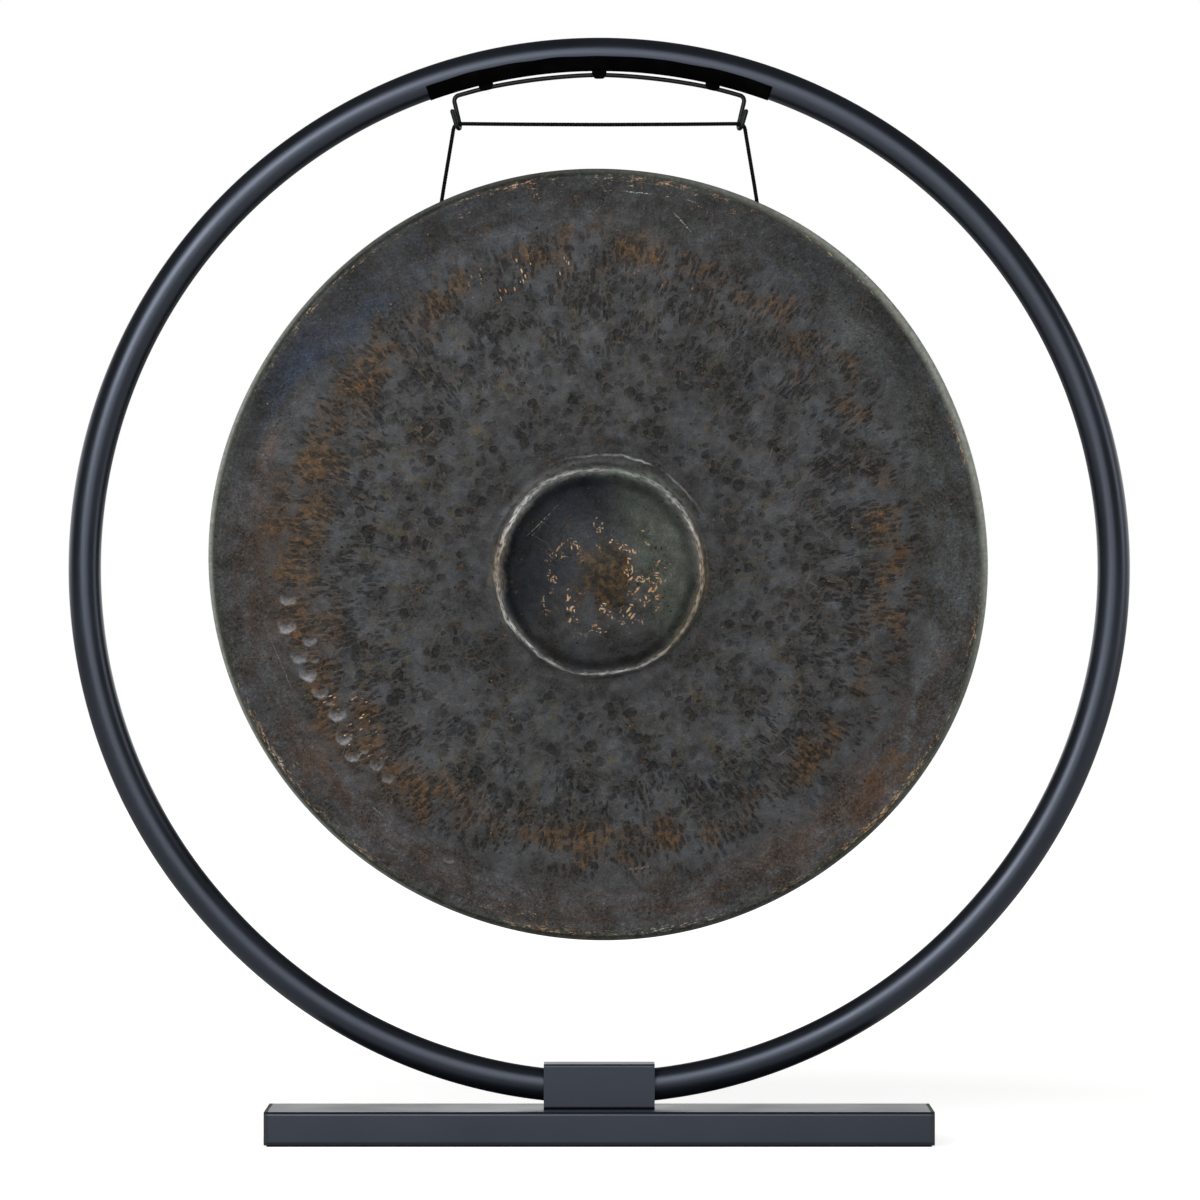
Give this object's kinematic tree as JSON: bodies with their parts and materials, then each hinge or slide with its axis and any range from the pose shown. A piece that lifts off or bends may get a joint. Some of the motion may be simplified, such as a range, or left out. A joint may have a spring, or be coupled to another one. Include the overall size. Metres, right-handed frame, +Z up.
{
  "type": "gong stand",
  "caption": "Round hoop stand of steel tube on a flat foot bar, with a bossed gong hanging on a cord from two rod hooks.",
  "frame": {"origin": "on the floor under the middle of the foot, in the plane of the hoop", "axes": "+Z up; +X to the right seen from the front; the front of the gong faces -Y"},
  "size_m": [0.8294, 0.1333, 0.8631],
  "materials": {
    "powder_coated_steel": "satin near-black powder coat with a fine orange peel",
    "matt_black_paint": "matt black paint",
    "blackened_rod": "satin black steel rod",
    "zinc_steel": "zinc plated",
    "black_plastic": "fine moulded grain",
    "black_rubber": "matt sheet rubber",
    "black_cord": "braided cord",
    "patinated_bronze": "hammered bronze with a dark grey patina"
  },
  "bodies": {
    "stand": {"foot_bar": "powder_coated_steel", "foot_end_cap_left": "black_plastic", "foot_end_cap_right": "black_plastic", "foot_mat": "black_rubber", "socket_sleeve": "powder_coated_steel", "hoop_tube": "powder_coated_steel", "hoop_spigot": "zinc_steel", "frame_bolt_left": "zinc_steel", "frame_bolt_right": "zinc_steel", "frame_washer_left": "zinc_steel", "frame_washer_right": "zinc_steel", "crown_strip": "matt_black_paint", "hanger_lug_left": "matt_black_paint", "hanger_lug_centre": "matt_black_paint", "hanger_lug_right": "matt_black_paint", "hanger_rod": "blackened_rod"},
    "cord": {"hanging_cord": "black_cord"},
    "gong": {"gong_bowl": "patinated_bronze", "cord_knot_left": "black_cord", "cord_knot_right": "black_cord"}
  },
  "joints": [
    {"name": "cord_swing", "type": "hinge", "parent": "stand", "child": "cord", "pos_m": [0, -0.0046, 0.79546], "axis": [1, 0, 0], "range_deg": [-20, 20]},
    {"name": "gong_rock", "type": "hinge", "parent": "cord", "child": "gong", "pos_m": [0, -0.0046, 0.73196], "axis": [1, 0, 0], "range_deg": [-10, 10]}
  ]
}
